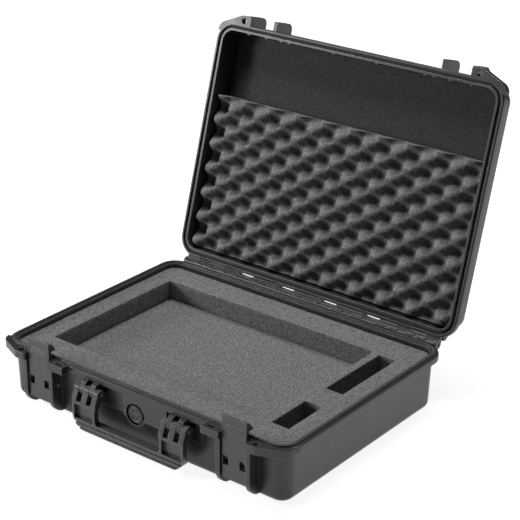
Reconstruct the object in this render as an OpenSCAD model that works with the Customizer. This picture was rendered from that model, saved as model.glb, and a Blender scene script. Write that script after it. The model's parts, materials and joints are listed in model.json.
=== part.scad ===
// Hard carrying case with a hinged lid, two over-centre latches, a drop handle, a pressure valve
// and foam fittings. The lid is drawn open, leaning on its stops.
// Origin: middle of the base's underside. X runs along the hinge, -Y is the handle side, Z is up.

/* [Case] */
// Width over the rims, left to right
case_w = 503; // [420:1:620]
// Depth over the rims, front to back
case_d = 366; // [300:1:450]
// Height of the base, ground to parting plane
base_h = 85; // [70:1:110]
// Height of the lid above the parting plane
lid_h = 48; // [46:1:80]
// Corner radius of the rims, seen from above
corner_r = 30; // [27:1:50]
// Angle that the lid swings back from closed
lid_open = 106.2; // [90:0.1:108]

/* [Shells] */
// Wall thickness of both shells
wall_t = 3.5; // [3:0.5:5]
// How far the rims stand out from the walls
rim_out = 8.5; // [8:0.5:12]
// Height of each rim
rim_t = 10.5; // [8:0.5:13]
// Rounding of the rims' outer edges
rim_r = 1.8; // [0.5:0.1:3]
// Draft of the base walls, degrees
base_draft = 2; // [1:0.5:3]
// Draft of the lid walls, degrees
lid_draft = 3; // [1:0.5:4]
// Rounding of the base's bottom edge
base_edge_r = 10; // [6:1:14]
// Rounding of the lid's top edge
lid_edge_r = 12; // [8:1:16]

/* [Seal] */
// Centre of the sealing tongue, in from the rim's outer edge
seal_in = 6.2; // [5:0.1:7]
// Width of the tongue on the base
tongue_w = 2.8; // [2:0.1:3.2]
// Height of the tongue on the base
tongue_h = 2.6; // [1.5:0.1:3]
// Width of the groove in the lid
groove_w = 4.8; // [4.4:0.1:6]
// Depth of the groove in the lid
groove_h = 6; // [5:0.1:7]
// Width of the gasket
gasket_w = 4.4; // [3.4:0.1:4.6]

/* [Hinge] */
// Distance of the hinge axis behind the rim
hinge_out = 8.8; // [8:0.1:12]
// Distance of the hinge axis below the parting plane
hinge_drop = 2.4; // [0:0.1:4]
// Outer diameter of the knuckles
knuckle_d = 14; // [12:0.5:15]
// Width of the wide knuckles
knuckle_w = 38.7; // [24:0.1:50]
// Width of the narrow knuckles at both ends
end_knuckle_w = 24; // [16:0.1:30]
// Diameter of the hinge pins
hinge_pin_d = 5; // [4:0.5:6]

/* [Latches] */
// Distance of each latch's centre from the rim's end
latch_in = 79.5; // [72:0.5:90]
// Width of a latch
latch_w = 40; // [34:1:50]
// Thickness of a latch plate
latch_t = 5; // [4:0.5:6]
// Height of a latch pivot below the parting plane
latch_drop = 40; // [30:1:42]
// Height of a latch's lower edge over the ground
latch_foot = 18; // [14:1:24]
// Diameter of the latch pins
latch_pin_d = 5; // [4:0.5:6]

/* [Handle] */
// Width over the handle
handle_w = 196; // [170:1:200]
// Clear width of the grip between the arms
grip_w = 115; // [100:1:118]
// Height of the pivot below the parting plane
handle_drop = 22.5; // [20:0.5:26]
// Height of the handle's lower edge over the ground
handle_foot = 6; // [4:0.5:12]
// Depth of the grip bar, front to back
grip_t = 15; // [12:0.5:17]
// Height of the grip bar
grip_h = 16; // [14:0.5:20]
// Thickness of the handle's arms
arm_t = 8; // [6:0.5:9]
// Diameter of the handle pins
handle_pin_d = 5; // [4:0.5:6]

/* [Valve] */
// Height of the valve's axis below the parting plane
valve_drop = 33; // [30:1:38]
// Radius of the boss round the valve
valve_boss_r = 17.5; // [16:0.5:20]
// Radius of the valve cap
valve_cap_r = 12; // [10:0.5:14]
// Diameter of the valve's stem
valve_stem_d = 14; // [10:0.5:16]

/* [Foam] */
// Drop from the parting plane to the top of the base foam
foam_drop = 6.5; // [4:0.5:12]
// Depth of the bays cut in the base foam
bay_h = 30; // [20:1:40]
// Foam left of the large bay
foam_left = 32.5; // [20:0.5:50]
// Foam in front of the large bay
foam_front = 49; // [30:1:60]
// Foam behind the large bay
foam_back = 46; // [30:1:60]
// Foam right of the small bays
foam_right = 32; // [20:0.5:50]
// Foam web between the large bay and the small ones
foam_web = 12; // [8:1:20]
// Width of the small bays
small_bay_w = 27.5; // [20:1:40]
// Length of the front small bay
front_bay_l = 72; // [50:1:100]
// Foam between the two small bays
bay_gap = 46; // [20:1:60]

/* [Lid lining] */
// Thickness of the flat foam against the lid
lining_t = 6; // [4:0.5:12]
// Clear height of the document pocket
pocket_h = 8; // [5:0.5:12]
// Thickness of the pocket board
board_t = 1.5; // [1:0.5:3]
// Height of the egg-crate foam over its peaks
crate_h = 24; // [14:0.5:26]
// Height of the egg-crate foam in its valleys
crate_base_h = 5; // [4:0.5:10]
// Distance between peaks along the hinge
crate_pitch_x = 49.6; // [30:0.1:60]
// Distance between peaks across the lid
crate_pitch_y = 38.4; // [24:0.1:50]
// Distance of the pocket's mouth from the front wall
pocket_mouth = 101; // [60:1:140]

/* [Hidden] */
$fn = 64;
eps = 0.01;

plastic = [0.22, 0.22, 0.23];
plastic_dark = [0.16, 0.16, 0.17];
rubber = [0.08, 0.08, 0.08];
steel = [0.72, 0.72, 0.74];
foam_grey = [0.30, 0.29, 0.30];
foam_dark = [0.20, 0.20, 0.20];

// Clearances
pin_gap = 0.05;   // radial, pin to bore
knuckle_gap = 0.4; // between neighbouring knuckles
side_gap = 1;     // latch to fin
loop_gap = 0.5;   // handle loop to lug
part_gap = 0.2;   // between the rims when shut
close_gap = 0.3;  // between other lid and base parts when shut
foam_gap = 0.6;   // foam to shell
glue_gap = 0.1;   // glued faces

// Hinge
hinge_y = case_d / 2 + hinge_out;
hinge_z = base_h - hinge_drop;
knuckle_r = knuckle_d / 2;
wide_pairs = 3;
end_margin = 16;  // rim left free beyond the last knuckle
end_room = case_w / 2 - end_margin - knuckle_w * (wide_pairs + 0.5);
end_knuckles = floor(end_room / end_knuckle_w);
knuckles = wide_pairs + end_knuckles;
rib_t = 3.5;      // hinge ribs on the back walls
stop_reach = 11;  // how far the stop noses stand behind the hinge axis
core_w = 6;       // core-outs in the knuckles
core_h = 2.2;
core_depth = 1.6;
core_gap = 2.2;   // from a knuckle's middle to its core-outs
core_tilt = 40;   // they face the opened case's front
slit = [27, 2.2]; // openings between the lid's wide knuckles and its rim

// Walls
wall_in = rim_out + wall_t;
base_wall_y = case_d / 2 - rim_out;
mid_y = base_wall_y - wall_t / 2 - 0.9;

// Latch bay
latch_x = case_w / 2 - latch_in;
slot_w = latch_w + 2 * side_gap;
fin_t = 6.5;
base_fin_out = 8.5;
lid_fin_out = 14;
fin_foot = 4;
fin_foot_r = 22;
lid_fin_top = min(41, lid_h - 7);
lid_fin_r = 10;
latch_rear_y = case_d / 2 + 0.6;
latch_front_y = latch_rear_y + latch_t;
latch_pivot_y = case_d / 2 - 3.5;
latch_pivot_z = base_h - latch_drop;
latch_head = 15;  // latch above the lid rim's upper face
hook_in = 7.4;    // reach of the hook over the lid rim
hook_tip_h = 3;
crown = 2;
crown_r = (latch_w * latch_w / 4 + crown * crown) / (2 * crown);
window_w = 9.5;
window_h = 13;
barrel_r = 5.5;

// Ears with the padlock holes
ear_out = 13;
ear_slant = 23.6; // angle at which the ear runs back to the corner
ear_corner_r = 16;
ear_corner_y = -case_d / 2 + 15.6;
ear_hole_d = 9;
ear_hole_in = 12.6; // from the latch bay
inner_ear_w = 22.5;
inner_ear_out = 12;
ear_slot = [14, 5];

// Handle
handle_pivot_y = case_d / 2 + 5;
handle_pivot_z = base_h - handle_drop;
handle_front_y = case_d / 2 + 18;
loop_r = 8;
end_loop_w = 7.5;
mid_loop_w = 9;
lug_w = 8;
lug_centres = [handle_w / 2 - end_loop_w - loop_gap - lug_w / 2,
               handle_w / 2 - end_loop_w - 3 * loop_gap - mid_loop_w - lug_w * 1.5];
handle_pin_x = lug_centres[1] - lug_w / 2 - loop_gap - end_loop_w + 1;
handle_corner_r = 24;
bar_r = 3;
bar_grooves = [[3.7, 2], [10.4, 2.8]]; // height over the lower edge, and width
bar_groove_depth = 2.2;
arm_frame = 3.5;  // frame left round the pockets in the arms
arm_floor = 3;

// Front wall
band_w = 224;
band_top = base_h - rim_t;
band_bottom = base_h - 40;
band_out = 6;     // band's face behind the rim's face
panel_left = 20;  // the raised panel starts here, left of the valve
valve_z = base_h - valve_drop;
valve_floor_y = case_d / 2 - 7;
valve_inner_y = base_wall_y - wall_t - valve_drop * tan(base_draft);

// Foam
foam_top = base_h - foam_drop;
foam_split = foam_top - bay_h;
foam_w = case_w - 2 * wall_in;
foam_d = case_d - 2 * wall_in;

// Lid linings, in the closed position
lid_z = base_h + part_gap;
lid_ceiling = lid_z + lid_h - wall_t;
lining_z = lid_ceiling - lining_t;
board_z = lining_z - pocket_h - board_t;
crate_top = board_z - glue_gap;
crate_low = crate_top - crate_h;
panel_front_y = -foam_d / 2 + pocket_mouth;
panel_gap = 3;    // pocket to the lid's walls
panel_back_y = foam_d / 2 - panel_gap;
panel_side_x = foam_w / 2 - panel_gap;
crate_steps = 6;  // grid cells to a pitch
crate_shift = [23.6, 3.1]; // where a peak lies

// ---------------------------------------------------------------- shared shapes

// Extrudes a side view, drawn as (y, z), from x0 to x1
module along_x(x0, x1) {
    translate([x0, 0, 0]) rotate([90, 0, 90]) linear_extrude(x1 - x0) children();
}

// Extrudes a front view, drawn as (x, z), from y0 to y1
module along_y(y0, y1) {
    translate([0, y1, 0]) rotate([90, 0, 0]) linear_extrude(y1 - y0) children();
}

// Draws its children and their mirror image in x
module both_sides() {
    children();
    mirror([1, 0, 0]) children();
}

// Quarter disc between the angles a and a + 90
module quarter(r, a = 0) {
    rotate(a) intersection() {
        circle(r);
        square(r);
    }
}

// Rounded rectangle about the origin
module round_rect(w, d, r) {
    square([w - 2 * r, d], center = true);
    square([w, d - 2 * r], center = true);
    for (x = [-1, 1], y = [-1, 1])
        translate([x * (w / 2 - r), y * (d / 2 - r)]) circle(r);
}

// Cylinder along X between x0 and x1 at (y, z)
module rod_x(x0, x1, y, z, r) {
    translate([x0, y, z]) rotate([0, 90, 0]) cylinder(r = r, h = x1 - x0);
}

// Cylinder along Y between y0 and y1 at (x, z)
module rod_y(y0, y1, x, z, r) {
    translate([x, y1, z]) rotate([90, 0, 0]) cylinder(r = r, h = y1 - y0);
}

// Box given by two corners
module box(a, b) {
    translate(a) cube(b - a);
}

// Turns the lid's parts from closed to open
module opened() {
    translate([0, hinge_y, hinge_z]) rotate([-lid_open, 0, 0]) translate([0, -hinge_y, -hinge_z])
        children();
}

// ---------------------------------------------------------------- shells

// Sweeps a section round the case's plan. In the section, u runs outwards from the corner
// centres and v runs away from the parting plane.
module sweep_round() {
    half_w = case_w / 2 - corner_r;
    half_d = case_d / 2 - corner_r;
    for (s = [0, 180]) {
        rotate(s) translate([half_w, 0, 0]) rotate([90, 0, 0])
            linear_extrude(2 * half_d, center = true) children();
        rotate(s) translate([0, half_d, 0]) rotate([90, 0, 90])
            linear_extrude(2 * half_w, center = true) children();
        rotate(s) translate([half_w, half_d, 0]) rotate_extrude(angle = 90) children();
        rotate(s) translate([-half_w, half_d, 0]) rotate(90) rotate_extrude(angle = 90) children();
    }
}

// Half outline of a drafted tub: u to the wall at the rim, height h, edge radius r
module tub_outline(u, h, r, draft, lip = 0) {
    cu = u - (h - r) * tan(draft) - r / cos(draft);
    polygon([
        [0, -lip], [u, -lip], [u, 0],
        [cu + r * cos(draft), h - r + r * sin(draft)],
        [cu, h], [0, h]
    ]);
    translate([cu, h - r]) quarter(r);
}

// Flat middle of a tub, between the corner centres
module tub_middle(v0, v1) {
    half_w = case_w / 2 - corner_r;
    half_d = case_d / 2 - corner_r;
    box([-half_w, -half_d, v0], [half_w, half_d, v1]);
}

module rim_section() {
    wall_u = corner_r - wall_in;
    translate([wall_u, 0]) square([wall_in - rim_r, rim_t]);
    translate([wall_u, rim_r]) square([wall_in, rim_t - 2 * rim_r]);
    for (v = [rim_r, rim_t - rim_r]) translate([corner_r - rim_r, v]) circle(rim_r);
}

module shell_section(h, edge_r, draft) {
    difference() {
        union() {
            tub_outline(corner_r - rim_out, h, edge_r, draft);
            rim_section();
        }
        tub_outline(corner_r - wall_in, h - wall_t, edge_r - wall_t, draft, 1);
    }
}

// Moulded tub with its rim, standing away from the parting plane along +Z
module tub(h, edge_r, draft) {
    sweep_round() shell_section(h, edge_r, draft);
    tub_middle(h - wall_t, h);
}

// Solid that fills a tub between two distances from the parting plane
module tub_filling(h, edge_r, draft, v0, v1) {
    intersection() {
        union() {
            sweep_round() tub_outline(corner_r - wall_in - foam_gap, h - wall_t - glue_gap,
                                      edge_r - wall_t, draft);
            tub_middle(0, h - wall_t - glue_gap);
        }
        box([-case_w, -case_d, v0], [case_w, case_d, v1]);
    }
}

// Puts what is drawn along +Z from the parting plane into the base or the lid
module in_base() {
    translate([0, 0, base_h]) mirror([0, 0, 1]) children();
}

module in_lid() {
    translate([0, 0, lid_z]) children();
}

// ---------------------------------------------------------------- hinge

// Outer end of the knuckle number k, counted from the middle
function knuckle_end(k) =
    k <= wide_pairs ? knuckle_w * (k + 0.5)
                    : knuckle_w * (wide_pairs + 0.5) + end_knuckle_w * (k - wide_pairs);

// Start and end of a knuckle on the right-hand side, less the running gap
function knuckle_span(k) =
    [k == 0 ? 0 : knuckle_end(k - 1) + knuckle_gap / 2, knuckle_end(k) - knuckle_gap / 2];

// Side view of a knuckle and its web. side is -1 for the base and 1 for the lid.
module knuckle_profile(side) {
    web_z0 = side < 0 ? hinge_z - knuckle_r : lid_z;
    web_z1 = side < 0 ? hinge_z : hinge_z + knuckle_r;
    translate([hinge_y, hinge_z]) circle(knuckle_r);
    translate([case_d / 2 - rim_r - 1, web_z0]) square([hinge_out + rim_r + 1, web_z1 - web_z0]);
}

// Rib behind a knuckle, from the rim down or up the back wall
module hinge_rib_profile(side) {
    root = mid_y;
    tip = case_d / 2 + 4;
    z = base_h + side * (rim_t - 1);
    run = side < 0 ? 34 : 22;
    polygon([[root, z], [tip, z], [tip, z + side * 6], [root, z + side * run]]);
}

// Nose that the opened lid's rim leans on
module stop_profile() {
    face = hinge_out - glue_gap;
    translate([hinge_y, hinge_z]) rotate(90 - lid_open)
        polygon([[0, 0], [stop_reach + 2.4, face - 4], [stop_reach + 2.4, face], [3, face], [0, 4]]);
}

module base_knuckles() {
    for (k = [0 : 2 : knuckles]) both_sides() {
        span = knuckle_span(k);
        along_x(span[0] - (k == 0 ? eps : 0), span[1]) knuckle_profile(-1);
        along_x(span[1] - rib_t, span[1]) hinge_rib_profile(-1);
        if (k > 0) along_x(span[0], span[0] + rib_t) hinge_rib_profile(-1);
        along_x(span[0] - (k == 0 ? eps : 0), span[1]) stop_profile();
    }
}

module lid_knuckles() {
    for (k = [1 : 2 : knuckles]) both_sides() {
        span = knuckle_span(k);
        along_x(span[0], span[1]) knuckle_profile(1);
        along_x(span[0], span[0] + rib_t) hinge_rib_profile(1);
        along_x(span[1] - rib_t, span[1]) hinge_rib_profile(1);
    }
}

// Small core-outs in the faces of the knuckles that show when the lid is open
module knuckle_core(x0, x1, deg) {
    translate([0, hinge_y, hinge_z]) rotate([deg, 0, 0])
        box([x0, -core_h, knuckle_r - core_depth], [x1, core_h, knuckle_r + core_depth]);
}

module base_core_outs() {
    for (k = [0 : 2 : knuckles]) both_sides() {
        span = knuckle_span(k);
        mid = k == 0 ? 0 : (span[0] + span[1]) / 2;
        if (k == 0)
            knuckle_core(core_gap, core_gap + core_w, core_tilt);
        else if (k <= wide_pairs) {
            knuckle_core(mid - core_w - core_gap, mid - core_gap, core_tilt);
            knuckle_core(mid + core_gap, mid + core_w + core_gap, core_tilt);
        } else
            knuckle_core(mid - core_w / 2, mid + core_w / 2, core_tilt);
    }
}

module lid_core_outs() {
    for (k = [1 : 2 : knuckles]) both_sides() {
        span = knuckle_span(k);
        trim = k <= wide_pairs ? 7 : 5;
        knuckle_core(span[0] + trim, span[1] - trim, lid_open + core_tilt);
    }
}

// Narrow openings through the webs of the lid's wide knuckles, next to the rim
module lid_slits() {
    for (k = [1 : 2 : wide_pairs]) both_sides() {
        span = knuckle_span(k);
        mid = (span[0] + span[1]) / 2;
        y = case_d / 2 + close_gap;
        box([mid - slit[0] / 2, y, hinge_z - knuckle_r - 1],
            [mid + slit[0] / 2, y + slit[1], hinge_z + knuckle_r + 1]);
    }
}

module hinge_bore() {
    reach = knuckle_end(knuckles);
    rod_x(-reach - 1, reach + 1, hinge_y, hinge_z, hinge_pin_d / 2 + pin_gap);
}

module hinge_pin() {
    rod_x(0.3, knuckle_end(knuckles) - 1.5, hinge_y, hinge_z, hinge_pin_d / 2);
}

// ---------------------------------------------------------------- latch bay and ears

// Fin beside a base latch, as (y, z)
module base_fin_profile() {
    y = -case_d / 2 - base_fin_out;
    top = base_h - rim_r;
    polygon([
        [-mid_y + wall_t, fin_foot], [y + fin_foot_r, fin_foot],
        [y, fin_foot + fin_foot_r], [y, top], [-mid_y, top]
    ]);
    translate([y + fin_foot_r, fin_foot + fin_foot_r]) quarter(fin_foot_r, 180);
}

// Fin beside a latch on the lid, as (y, z)
module lid_fin_profile() {
    y = -case_d / 2 - lid_fin_out;
    top = base_h + lid_fin_top;
    polygon([
        [-mid_y, base_h + rim_r], [y, base_h + rim_r], [y, top - lid_fin_r],
        [y + lid_fin_r, top], [-mid_y + 4, top]
    ]);
    translate([y + lid_fin_r, top - lid_fin_r]) quarter(lid_fin_r, 90);
}

// Draws a pair of fins beside the right-hand latch
module fin_pair() {
    along_x(latch_x - slot_w / 2 - fin_t, latch_x - slot_w / 2) children();
    along_x(latch_x + slot_w / 2, latch_x + slot_w / 2 + fin_t) children();
}

// Plan of the outer ear, with its corner rounded off
module outer_ear_plan() {
    x0 = latch_x + slot_w / 2;
    y0 = -case_d / 2 - ear_out;
    root = -case_d / 2 + rim_out;
    r = 3;
    centre = [case_w / 2 - ear_corner_r, ear_corner_y];
    bend = centre + ear_corner_r * [sin(ear_slant), -cos(ear_slant)];
    polygon([
        [x0, root], [x0, y0 + r], [x0 + r, y0], [bend[0] - (bend[1] - y0) / tan(ear_slant), y0],
        bend, centre, [case_w / 2 - corner_r, root]
    ]);
    translate([x0 + r, y0 + r]) circle(r);
    translate(centre) quarter(ear_corner_r, 270);
}

module inner_ear_plan() {
    x1 = latch_x - slot_w / 2;
    y0 = -case_d / 2 - inner_ear_out;
    translate([x1 - inner_ear_w - fin_t, y0]) square([inner_ear_w + fin_t, inner_ear_out + rim_out]);
}

module ear_hole() {
    x = latch_x + slot_w / 2 + ear_hole_in;
    translate([x, -case_d / 2 - 5, base_h - 2 * rim_t]) cylinder(d = ear_hole_d, h = 4 * rim_t);
}

module inner_ear_slot() {
    x = latch_x - slot_w / 2 - fin_t - inner_ear_w / 2 + 1;
    translate([x, -case_d / 2 - 4.5, base_h - 2 * rim_t])
        linear_extrude(3 * rim_t) square(ear_slot, center = true);
}

module latch_pin_bore() {
    rod_x(latch_x - slot_w / 2 - fin_t - 1, latch_x + slot_w / 2 + fin_t - 2.5,
          -latch_pivot_y, latch_pivot_z, latch_pin_d / 2 + pin_gap);
}

module latch_pin() {
    rod_x(latch_x - slot_w / 2 - fin_t + 0.6, latch_x + slot_w / 2 + fin_t - 3,
          -latch_pivot_y, latch_pivot_z, latch_pin_d / 2);
}

// ---------------------------------------------------------------- handle lugs and front wall

// Lug that carries the handle pin, as (y, z)
module lug_profile() {
    tip_y = -case_d / 2 - 3;
    tip_z = band_top - 3;
    tip_r = 5;
    translate([-handle_pivot_y, handle_pivot_z]) circle(loop_r - 0.5);
    translate([tip_y, tip_z]) circle(tip_r);
    polygon([
        [-handle_pivot_y - loop_r + 0.5, handle_pivot_z], [tip_y - tip_r, tip_z],
        [tip_y, tip_z + tip_r], [-mid_y, band_top + 1], [-mid_y, handle_pivot_z - loop_r],
        [-handle_pivot_y, handle_pivot_z - loop_r + 0.5]
    ]);
}

module handle_lugs() {
    both_sides() for (x = lug_centres) along_x(x - lug_w / 2, x + lug_w / 2) lug_profile();
}

module handle_pin_bore() {
    rod_x(handle_pin_x - 1, handle_w / 2 + 1, -handle_pivot_y, handle_pivot_z,
          handle_pin_d / 2 + pin_gap);
}

module handle_pin() {
    rod_x(handle_pin_x, handle_w / 2 - 0.5, -handle_pivot_y, handle_pivot_z, handle_pin_d / 2);
}

module front_panels() {
    box([-band_w / 2, -case_d / 2 + band_out, band_bottom], [band_w / 2, -mid_y, band_top + 1]);
    panel_right = handle_pin_x - 1 - side_gap;
    box([-panel_left, -case_d / 2, band_bottom], [panel_right, -mid_y, band_top + rim_r + 1]);
    rod_y(-case_d / 2, -mid_y, 0, valve_z, valve_boss_r);
}

module valve_seat() {
    rod_y(-case_d / 2 - 1, -valve_floor_y, 0, valve_z, valve_boss_r - 1.6);
    rod_y(-case_d / 2 - 1, -valve_inner_y + wall_t, 0, valve_z, valve_stem_d / 2 + pin_gap);
}

// ---------------------------------------------------------------- base parts

module base_shell() {
    color(plastic) difference() {
        union() {
            in_base() tub(base_h, base_edge_r, base_draft);
            in_base() sweep_round() tongue_section();
            base_knuckles();
            both_sides() {
                fin_pair() base_fin_profile();
                translate([0, 0, base_h - rim_t]) linear_extrude(rim_t) outer_ear_plan();
                translate([0, 0, base_h - rim_t]) linear_extrude(rim_t) inner_ear_plan();
            }
            handle_lugs();
            front_panels();
        }
        hinge_bore();
        base_core_outs();
        valve_seat();
        both_sides() {
            latch_pin_bore();
            handle_pin_bore();
            ear_hole();
            inner_ear_slot();
        }
    }
}

module tongue_section() {
    translate([corner_r - seal_in - tongue_w / 2, -tongue_h]) square([tongue_w, tongue_h + 1]);
}

// Foam that fills the base between two heights
module base_foam(z0, z1) {
    difference() {
        in_base() tub_filling(base_h, base_edge_r, base_draft, base_h - z1, base_h - z0);
        rod_y(-case_d / 2, -valve_inner_y + 13, 0, valve_z, 15);
    }
}

module base_foam_floor() {
    color(foam_grey) base_foam(wall_t, foam_split - glue_gap);
}

// Plan of the bays, each an open rectangle in the foam insert
module bay_plan() {
    x0 = -foam_w / 2 + foam_left;
    x3 = foam_w / 2 - foam_right;
    x2 = x3 - small_bay_w;
    x1 = x2 - foam_web;
    y0 = -foam_d / 2 + foam_front;
    y1 = foam_d / 2 - foam_back;
    front_end = y0 + front_bay_l;
    translate([x0, y0]) square([x1 - x0, y1 - y0]);
    translate([x2, y0]) square([small_bay_w, front_bay_l]);
    translate([x2, front_end + bay_gap]) square([small_bay_w, y1 - front_end - bay_gap - 4]);
}

module base_foam_insert() {
    color(foam_grey) difference() {
        base_foam(foam_split, foam_top);
        translate([0, 0, foam_split - 1]) linear_extrude(bay_h + 2) bay_plan();
    }
}

// ---------------------------------------------------------------- valve

module valve_body() {
    head_y = -valve_floor_y - 0.8;
    color(plastic_dark) difference() {
        union() {
            rod_y(head_y - 3, head_y, 0, valve_z, 11);
            rod_y(head_y - 1, -valve_inner_y + 9, 0, valve_z, valve_stem_d / 2);
        }
        rod_y(head_y - 4, -valve_inner_y + 10, 0, valve_z, 3);
        rod_y(head_y - 4, head_y - 2.4, 0, valve_z, 5.2);
    }
}

module valve_seal() {
    color(rubber) translate([0, -valve_floor_y, valve_z]) rotate([90, 0, 0])
        rotate_extrude() translate([valve_stem_d / 2 + 0.3, 0]) square([3.2, 0.8]);
}

module valve_membrane() {
    color([0.85, 0.85, 0.82])
        rod_y(-valve_floor_y - 3.7, -valve_floor_y - 3.25, 0, valve_z, 5.1);
}

module valve_cap() {
    back_y = -valve_floor_y - 3.9;
    face_y = -case_d / 2 + 0.4;
    slot_count = 6;
    color(plastic_dark) difference() {
        rod_y(face_y, back_y + 2.4, 0, valve_z, valve_cap_r);
        rod_y(back_y, back_y + 4, 0, valve_z, 11.1);
        translate([0, face_y, valve_z]) rotate([90, 0, 0]) rotate_extrude()
            translate([valve_cap_r - 2.8, -0.9]) square([1.2, 2]);
        for (k = [0 : slot_count - 1]) translate([0, 0, valve_z]) rotate([0, 30 + k * 60, 0])
            box([-1, face_y - 1, 5.4], [1, back_y + 1, 8]);
        for (s = [-1, 1])
            box([-4.6, face_y - 1, valve_z + s * 3 - 1.1], [4.6, face_y + 0.9, valve_z + s * 3 + 1.1]);
    }
}

module valve_nut() {
    y0 = -valve_inner_y + 12 * tan(base_draft) + glue_gap;
    color(plastic_dark) difference() {
        translate([0, y0 + 5, valve_z]) rotate([90, 0, 0]) cylinder(r = 12, h = 5, $fn = 6);
        rod_y(y0 - 1, y0 + 6, 0, valve_z, valve_stem_d / 2 + pin_gap);
    }
}

// ---------------------------------------------------------------- lid parts, drawn closed

// Small moulded nubs under the lid's rim, at these distances from the middle
nub_places = [38, 120, 134, 161.5, 195];
nub_size = [5, 3, 2.4];

module nubs() {
    y = -foam_d / 2 - 1;
    for (x = nub_places) if (x < foam_w / 2 - corner_r) both_sides()
        translate([x - nub_size[0] / 2, y, lid_z + 3]) cube(nub_size);
}

module lid_shell() {
    color(plastic) opened() difference() {
        union() {
            in_lid() tub(lid_h, lid_edge_r, lid_draft);
            lid_knuckles();
            both_sides() {
                fin_pair() lid_fin_profile();
                in_lid() linear_extrude(rim_t) outer_ear_plan();
            }
            nubs();
        }
        in_lid() sweep_round() groove_section();
        hinge_bore();
        lid_core_outs();
        lid_slits();
        both_sides() ear_hole();
    }
}

module groove_section() {
    translate([corner_r - seal_in - groove_w / 2, -1]) square([groove_w, groove_h + 1]);
}

module lid_gasket() {
    low = tongue_h + close_gap;
    color(rubber) opened() in_lid() sweep_round() difference() {
        translate([corner_r - seal_in - gasket_w / 2, low]) square([gasket_w, groove_h - low]);
        translate([corner_r - seal_in, groove_h]) circle(0.8);
    }
}

module lid_foam_lining() {
    color(foam_dark) opened() in_lid()
        tub_filling(lid_h, lid_edge_r, lid_draft, lining_z - lid_z, lid_h);
}

// Board of the pocket, with a turned-up edge on three sides glued to the lining
module pocket_panel() {
    edge = 3;
    w = 2 * panel_side_x;
    d = panel_back_y - panel_front_y;
    r = corner_r - wall_in;
    mid = (panel_back_y + panel_front_y) / 2;
    color(foam_dark) opened() difference() {
        translate([0, mid, board_z]) linear_extrude(board_t + pocket_h) panel_plan(w, d, r);
        translate([0, mid - edge, board_z + board_t])
            linear_extrude(pocket_h + 1) panel_plan(w - 2 * edge, d, r - edge);
    }
}

// Rectangle with its two corners at the hinge side rounded
module panel_plan(w, d, r) {
    translate([-w / 2, -d / 2]) square([w, d - r]);
    translate([-w / 2 + r, -d / 2]) square([w - 2 * r, d]);
    for (s = [-1, 1]) translate([s * (w / 2 - r), d / 2 - r]) circle(r);
}

// Egg-crate foam: a grid of peaks and valleys over a flat back, its hinge corners drawn in
module eggcrate_foam() {
    r = corner_r - wall_in;
    y0 = panel_front_y;
    y1 = panel_back_y;
    half_w = panel_side_x;
    columns = round(2 * half_w / crate_pitch_x * crate_steps);
    rows = round((y1 - y0) / crate_pitch_y * crate_steps);
    mean = (crate_h + crate_base_h) / 2;
    swing = (crate_h - crate_base_h) / 2;
    function grid_y(j) = y0 + (y1 - y0) * j / rows;
    function reach(y) = let (q = max(0, y - (y1 - r)) / r) half_w - r + r * sqrt(max(0.02, 1 - q * q));
    function grid_x(i, y) = let (x = -half_w + 2 * half_w * i / columns, flat = half_w - r)
        abs(x) <= flat ? x : sign(x) * (flat + (abs(x) - flat) * (reach(y) - flat) / r);
    function wave(x, pitch, shift) = cos(360 * (x - shift) / pitch);
    function height(x, y) = mean + swing * wave(x, crate_pitch_x, crate_shift[0])
        * wave(y, crate_pitch_y, crate_shift[1]);
    face = [for (j = [0 : rows], i = [0 : columns])
        let (y = grid_y(j), x = grid_x(i, y)) [x, y, crate_top - height(x, y)]];
    n = len(face);
    function at(i, j) = j * (columns + 1) + i;
    rim = concat(
        [for (i = [0 : columns - 1]) at(i, 0)],
        [for (j = [0 : rows - 1]) at(columns, j)],
        [for (i = [columns : -1 : 1]) at(i, rows)],
        [for (j = [rows : -1 : 1]) at(0, j)]
    );
    m = len(rim);
    back = [for (k = rim) [face[k][0], face[k][1], crate_top]];
    centre = [0, (y0 + y1) / 2, crate_top];
    front_faces = [for (j = [0 : rows - 1], i = [0 : columns - 1]) each [
        [at(i, j), at(i + 1, j), at(i + 1, j + 1)], [at(i, j), at(i + 1, j + 1), at(i, j + 1)]
    ]];
    side_faces = [for (k = [0 : m - 1]) let (next = (k + 1) % m) each [
        [rim[k], n + k, n + next], [rim[k], n + next, rim[next]]
    ]];
    back_faces = [for (k = [0 : m - 1]) [n + m, n + (k + 1) % m, n + k]];
    color(foam_grey) opened()
        polyhedron(concat(face, back, [centre]), concat(front_faces, side_faces, back_faces));
}

// ---------------------------------------------------------------- latch

// Side view of a latch, as (y, z)
module latch_profile() {
    front = -latch_front_y;
    rear = -latch_rear_y;
    under = lid_z + rim_t + close_gap;
    top = base_h + rim_t + latch_head;
    hook = rear + hook_in + 0.6;
    foot_r = 2.5;
    polygon([
        [front, latch_foot + foot_r], [front, top - 2], [front + 2, top], [front + 3, top],
        [hook, under + hook_tip_h], [hook, under], [rear, under], [rear, latch_foot + foot_r],
        [rear - 2, latch_foot], [front + foot_r, latch_foot]
    ]);
    translate([front + foot_r, latch_foot + foot_r]) quarter(foot_r, 180);
}

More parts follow.
